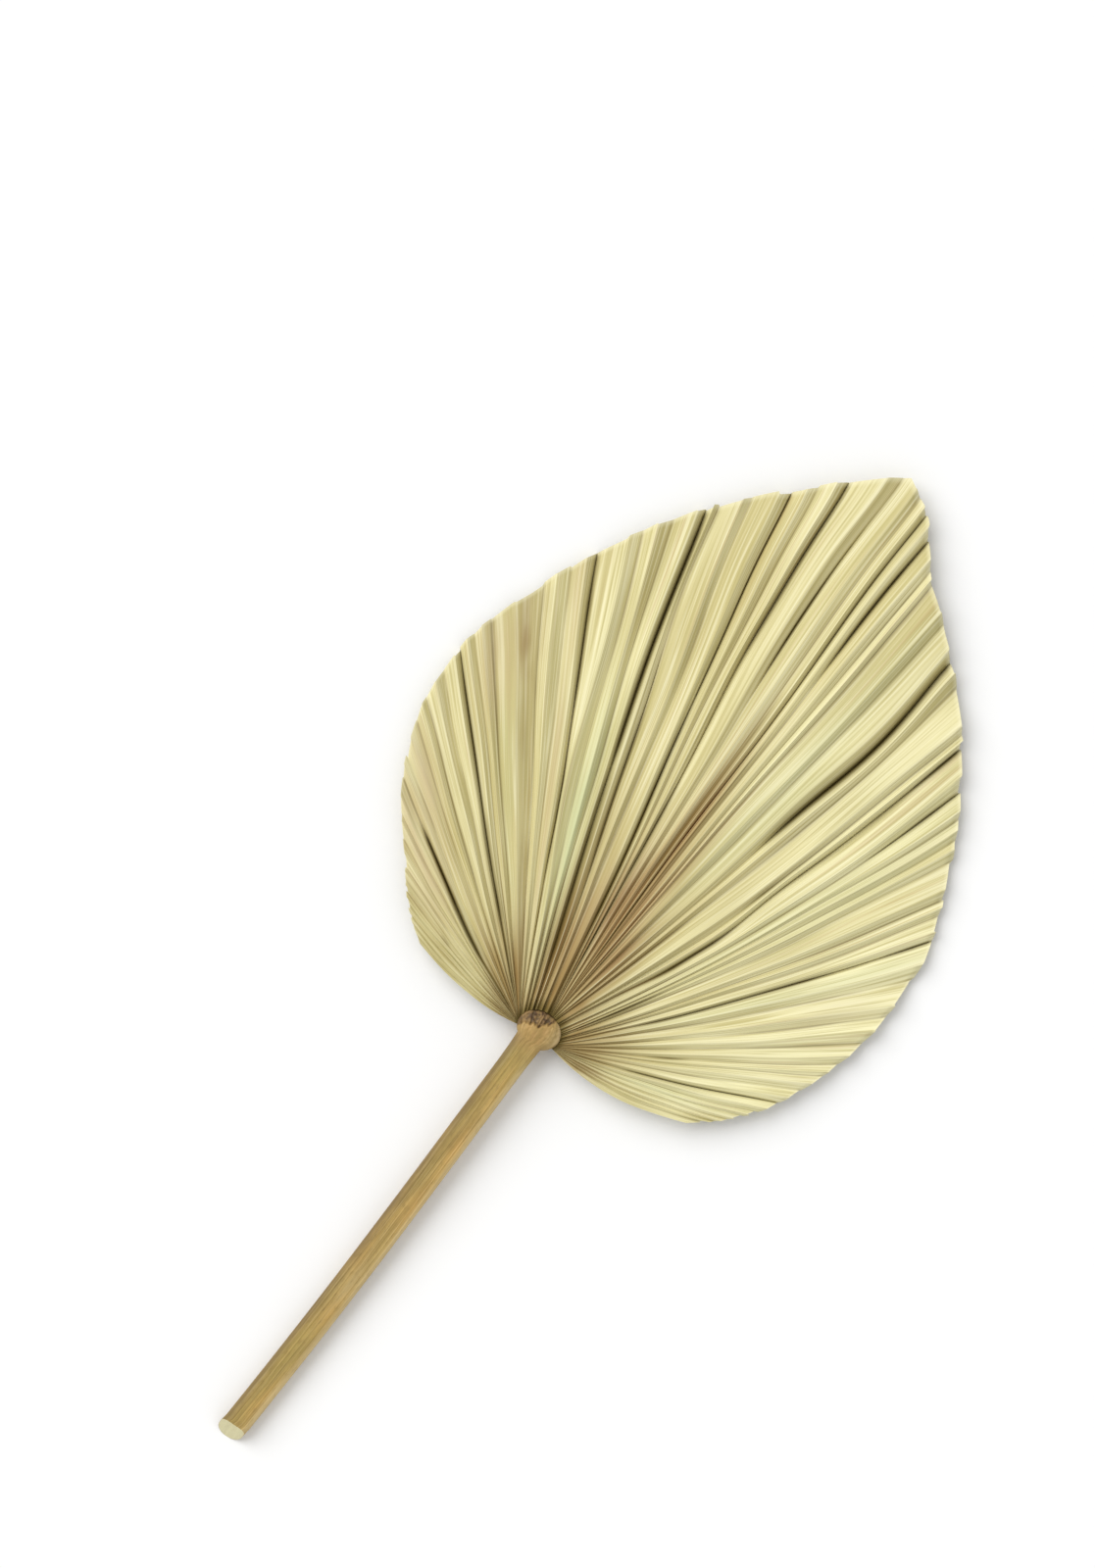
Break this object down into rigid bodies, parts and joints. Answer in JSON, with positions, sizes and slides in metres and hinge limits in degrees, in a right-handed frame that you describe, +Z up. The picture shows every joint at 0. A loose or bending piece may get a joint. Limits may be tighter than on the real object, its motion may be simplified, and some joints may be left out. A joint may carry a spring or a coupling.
{
  "type": "fan palm leaf",
  "caption": "Dried fan palm leaf trimmed to a spear shape: a pleated blade fans out from the head of a slim stalk, and the leaf lies flat on a surface.",
  "frame": {"origin": "on the table under the middle of the leaf", "axes": "+Y along the leaf from the stalk to the tip, +Z up through the blade's upper face"},
  "size_m": [0.2313, 0.4809, 0.0137],
  "materials": {
    "blade": "matte",
    "stalk": "satin"
  },
  "bodies": {
    "root": {"blade": "blade", "stalk": "stalk"}
  },
  "joints": []
}
